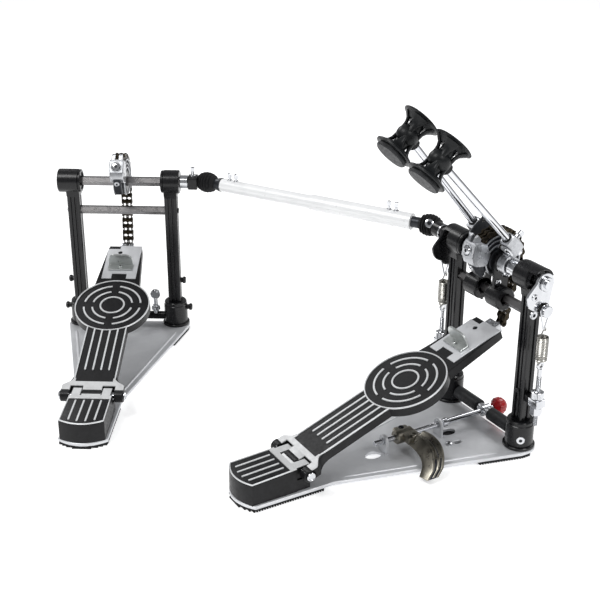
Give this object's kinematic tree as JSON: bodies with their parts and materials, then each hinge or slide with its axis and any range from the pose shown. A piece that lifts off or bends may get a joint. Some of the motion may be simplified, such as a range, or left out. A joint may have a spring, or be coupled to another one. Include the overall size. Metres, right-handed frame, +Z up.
{
  "type": "bass drum pedal",
  "caption": "Bass drum pedal pair with chain-driven beaters, coil return springs and a telescoping drive shaft between the footboards.",
  "frame": {"origin": "middle of the box of the whole assembly, on the floor", "axes": "+X to the player's right along the main pedal's axle, +Y towards the drum, +Z up"},
  "size_m": [0.5648, 0.4476, 0.3573],
  "materials": {
    "plate_silver": "satin",
    "rubber": "matte",
    "black_casting": "satin black",
    "board_casting": "black rubber-faced casting",
    "polished_steel": "polished",
    "zinc_steel": "zinc plated",
    "chain_steel": "oiled dark steel",
    "cast_silver": "plated casting",
    "satin_steel": "satin",
    "black_extrusion": "anodised black",
    "spring_steel": "bright spring wire",
    "chrome": "polished",
    "beater_plastic": "satin",
    "red_plastic": "glossy",
    "nickel_casting": "nickel plated"
  },
  "bodies": {
    "main_frame": {"main_base_plate": "plate_silver", "main_heel_pad": "rubber", "main_front_pad": "rubber", "main_heel_plate": "black_casting", "main_hinge_pin": "polished_steel", "main_crossbar": "satin_steel", "main_post_left": "black_extrusion", "main_post_right": "black_extrusion", "main_spreader": "rubber", "main_socket_left": "black_casting", "main_socket_right": "black_casting", "centre_bracket_left": "black_casting", "centre_bracket_right": "black_casting", "left_spring_rod": "polished_steel", "right_spring_rod": "polished_steel"},
    "main_board": {"main_footboard": "board_casting", "main_toe_stop": "zinc_steel", "main_chain_clasp": "zinc_steel"},
    "main_drive": {"main_axle": "satin_steel", "main_cam": "cast_silver", "main_chain_wrap": "chain_steel", "right_beater_hub": "cast_silver", "right_spring_plate": "zinc_steel"},
    "main_lead_links": {"main_chain_lead": "chain_steel"},
    "main_run_links": {"main_chain_run": "chain_steel"},
    "right_beater": {"right_beater_rod": "chrome", "right_beater_head": "beater_plastic"},
    "right_spring": {"right_spring_coil": "spring_steel"},
    "right_spring_hook": {"right_spring_loop": "spring_steel"},
    "left_drive": {"left_axle": "satin_steel", "left_beater_hub": "cast_silver", "left_spring_plate": "zinc_steel"},
    "left_beater": {"left_beater_rod": "chrome", "left_beater_head": "beater_plastic"},
    "left_spring": {"left_spring_coil": "spring_steel"},
    "left_spring_hook": {"left_spring_loop": "spring_steel"},
    "clamp_screw": {"clamp_rod": "polished_steel", "clamp_knob": "red_plastic"},
    "clamp_arm": {"clamp_lever": "nickel_casting"},
    "drive_shaft_outer": {"link_outer_tube": "chrome", "link_right_boot": "rubber"},
    "shaft_carriage": {"link_left_boot": "rubber"},
    "drive_shaft_inner": {"link_inner_tube": "chrome"},
    "slave_frame": {"slave_base_plate": "plate_silver", "slave_heel_pad": "rubber", "slave_front_pad": "rubber", "slave_heel_plate": "black_casting", "slave_hinge_pin": "polished_steel", "slave_crossbar": "satin_steel", "slave_post_left": "black_extrusion", "slave_post_right": "black_extrusion", "slave_spreader": "black_casting"},
    "slave_board": {"slave_footboard": "board_casting", "slave_toe_stop": "zinc_steel", "slave_chain_clasp": "zinc_steel"},
    "slave_drive": {"slave_axle": "satin_steel", "slave_cam": "cast_silver", "slave_chain_wrap": "chain_steel"},
    "slave_lead_links": {"slave_chain_lead": "chain_steel"},
    "slave_run_links": {"slave_chain_run": "chain_steel"}
  },
  "joints": [
    {"name": "main_press", "type": "hinge", "parent": "main_frame", "child": "main_board", "pos_m": [0.19438, -0.04743, 0.0277], "axis": [1, 0, 0], "range_deg": [-6, 0], "stiffness_Nm_per_rad": 30, "springref_deg": 3.44},
    {"name": "main_axle_turn", "type": "hinge", "parent": "main_frame", "child": "main_drive", "pos_m": [0.19438, 0.18927, 0.195], "axis": [1, 0, 0], "range_deg": [-47.5, 0]},
    {"name": "main_lead_bend", "type": "hinge", "parent": "main_drive", "child": "main_lead_links", "pos_m": [0.19438, 0.21409, 0.21358], "axis": [1, 0, 0], "range_deg": [0, 31]},
    {"name": "main_run_swing", "type": "hinge", "parent": "main_board", "child": "main_run_links", "pos_m": [0.19438, 0.20459, 0.11895], "axis": [1, 0, 0], "range_deg": [0, 14.5]},
    {"name": "right_beater_height", "type": "slide", "parent": "main_drive", "child": "right_beater", "axis": [0, -0.6884, 0.7254], "range_m": [-0.02, 0.015]},
    {"name": "right_spring_tilt", "type": "hinge", "parent": "main_frame", "child": "right_spring", "pos_m": [0.27538, 0.18927, 0.108], "axis": [1, 0, 0], "range_deg": [0, 17]},
    {"name": "right_spring_stretch", "type": "slide", "parent": "right_spring", "child": "right_spring_hook", "axis": [0, 0, 1], "range_m": [0, 0.0125], "deforming": ["right_spring_coil"]},
    {"name": "slave_press", "type": "hinge", "parent": "slave_frame", "child": "slave_board", "pos_m": [-0.0291, -0.17141, 0.0277], "axis": [0.5314, 0.8471, 0], "range_deg": [-6, 0], "stiffness_Nm_per_rad": 30, "springref_deg": 3.44},
    {"name": "slave_axle_turn", "type": "hinge", "parent": "slave_frame", "child": "slave_drive", "pos_m": [-0.22962, -0.04563, 0.195], "axis": [0.5314, 0.8471, 0], "range_deg": [-49.5, 0]},
    {"name": "slave_lead_bend", "type": "hinge", "parent": "slave_drive", "child": "slave_lead_links", "pos_m": [-0.2492, -0.03334, 0.21566], "axis": [0.5314, 0.8471, 0], "range_deg": [0, 30]},
    {"name": "slave_run_swing", "type": "hinge", "parent": "slave_board", "child": "slave_run_links", "pos_m": [-0.24646, -0.03506, 0.10519], "axis": [0.5314, 0.8471, 0], "range_deg": [0, 11.5]},
    {"name": "shaft_length", "type": "slide", "parent": "main_frame", "child": "shaft_carriage", "axis": [-0.8689, -0.495, 0], "range_m": [-0.05, 0.045]},
    {"name": "slave_swivel", "type": "hinge", "parent": "shaft_carriage", "child": "slave_frame", "pos_m": [-0.17382, 0.04332, 0.195], "axis": [0, 0, 1], "range_deg": [-20, 20]},
    {"name": "shaft_inner_turn", "type": "hinge", "parent": "shaft_carriage", "child": "drive_shaft_inner", "pos_m": [-0.17382, 0.04332, 0.195], "axis": [0.8689, 0.495, 0], "range_deg": [-49.5, 0]},
    {"name": "shaft_outer_turn", "type": "hinge", "parent": "main_frame", "child": "drive_shaft_outer", "pos_m": [0.08238, 0.18927, 0.195], "axis": [0.8689, 0.495, 0], "range_deg": [-49.5, 0]},
    {"name": "left_axle_turn", "type": "hinge", "parent": "main_frame", "child": "left_drive", "pos_m": [0.11438, 0.18927, 0.195], "axis": [1, 0, 0], "range_deg": [-49.5, 0]},
    {"name": "left_beater_height", "type": "slide", "parent": "left_drive", "child": "left_beater", "axis": [0, -0.6494, 0.7604], "range_m": [-0.02, 0.015]},
    {"name": "left_spring_tilt", "type": "hinge", "parent": "main_frame", "child": "left_spring", "pos_m": [0.11338, 0.18927, 0.108], "axis": [1, 0, 0], "range_deg": [0, 17]},
    {"name": "left_spring_stretch", "type": "slide", "parent": "left_spring", "child": "left_spring_hook", "axis": [0, 0, 1], "range_m": [0, 0.013], "deforming": ["left_spring_coil"]},
    {"name": "clamp_screw_turn", "type": "hinge", "parent": "main_frame", "child": "clamp_screw", "pos_m": [0.19738, 0.12927, 0.02], "axis": [0, 1, 0], "continuous": true},
    {"name": "clamp_lever_swing", "type": "hinge", "parent": "main_frame", "child": "clamp_arm", "pos_m": [0.19738, 0.08227, 0.02], "axis": [0, 1, 0], "range_deg": [-30, 0]}
  ],
  "couplings": [
    {"joint": "main_axle_turn", "follows": "main_press", "ratio": 7.85},
    {"joint": "main_lead_bend", "follows": "main_press", "ratio": -5.1},
    {"joint": "main_run_swing", "follows": "main_press", "ratio": -2.32},
    {"joint": "right_spring_tilt", "follows": "main_press", "ratio": -2.727},
    {"joint": "right_spring_stretch", "follows": "main_press", "m_per_rad": -0.1108},
    {"joint": "slave_axle_turn", "follows": "slave_press", "ratio": 8.2},
    {"joint": "slave_lead_bend", "follows": "slave_press", "ratio": -4.95},
    {"joint": "slave_run_swing", "follows": "slave_press", "ratio": -1.84},
    {"joint": "shaft_inner_turn", "follows": "slave_press", "ratio": 8.2},
    {"joint": "shaft_outer_turn", "follows": "slave_press", "ratio": 8.2},
    {"joint": "left_axle_turn", "follows": "slave_press", "ratio": 8.2},
    {"joint": "left_spring_tilt", "follows": "slave_press", "ratio": -2.784},
    {"joint": "left_spring_stretch", "follows": "slave_press", "m_per_rad": -0.1198}
  ]
}
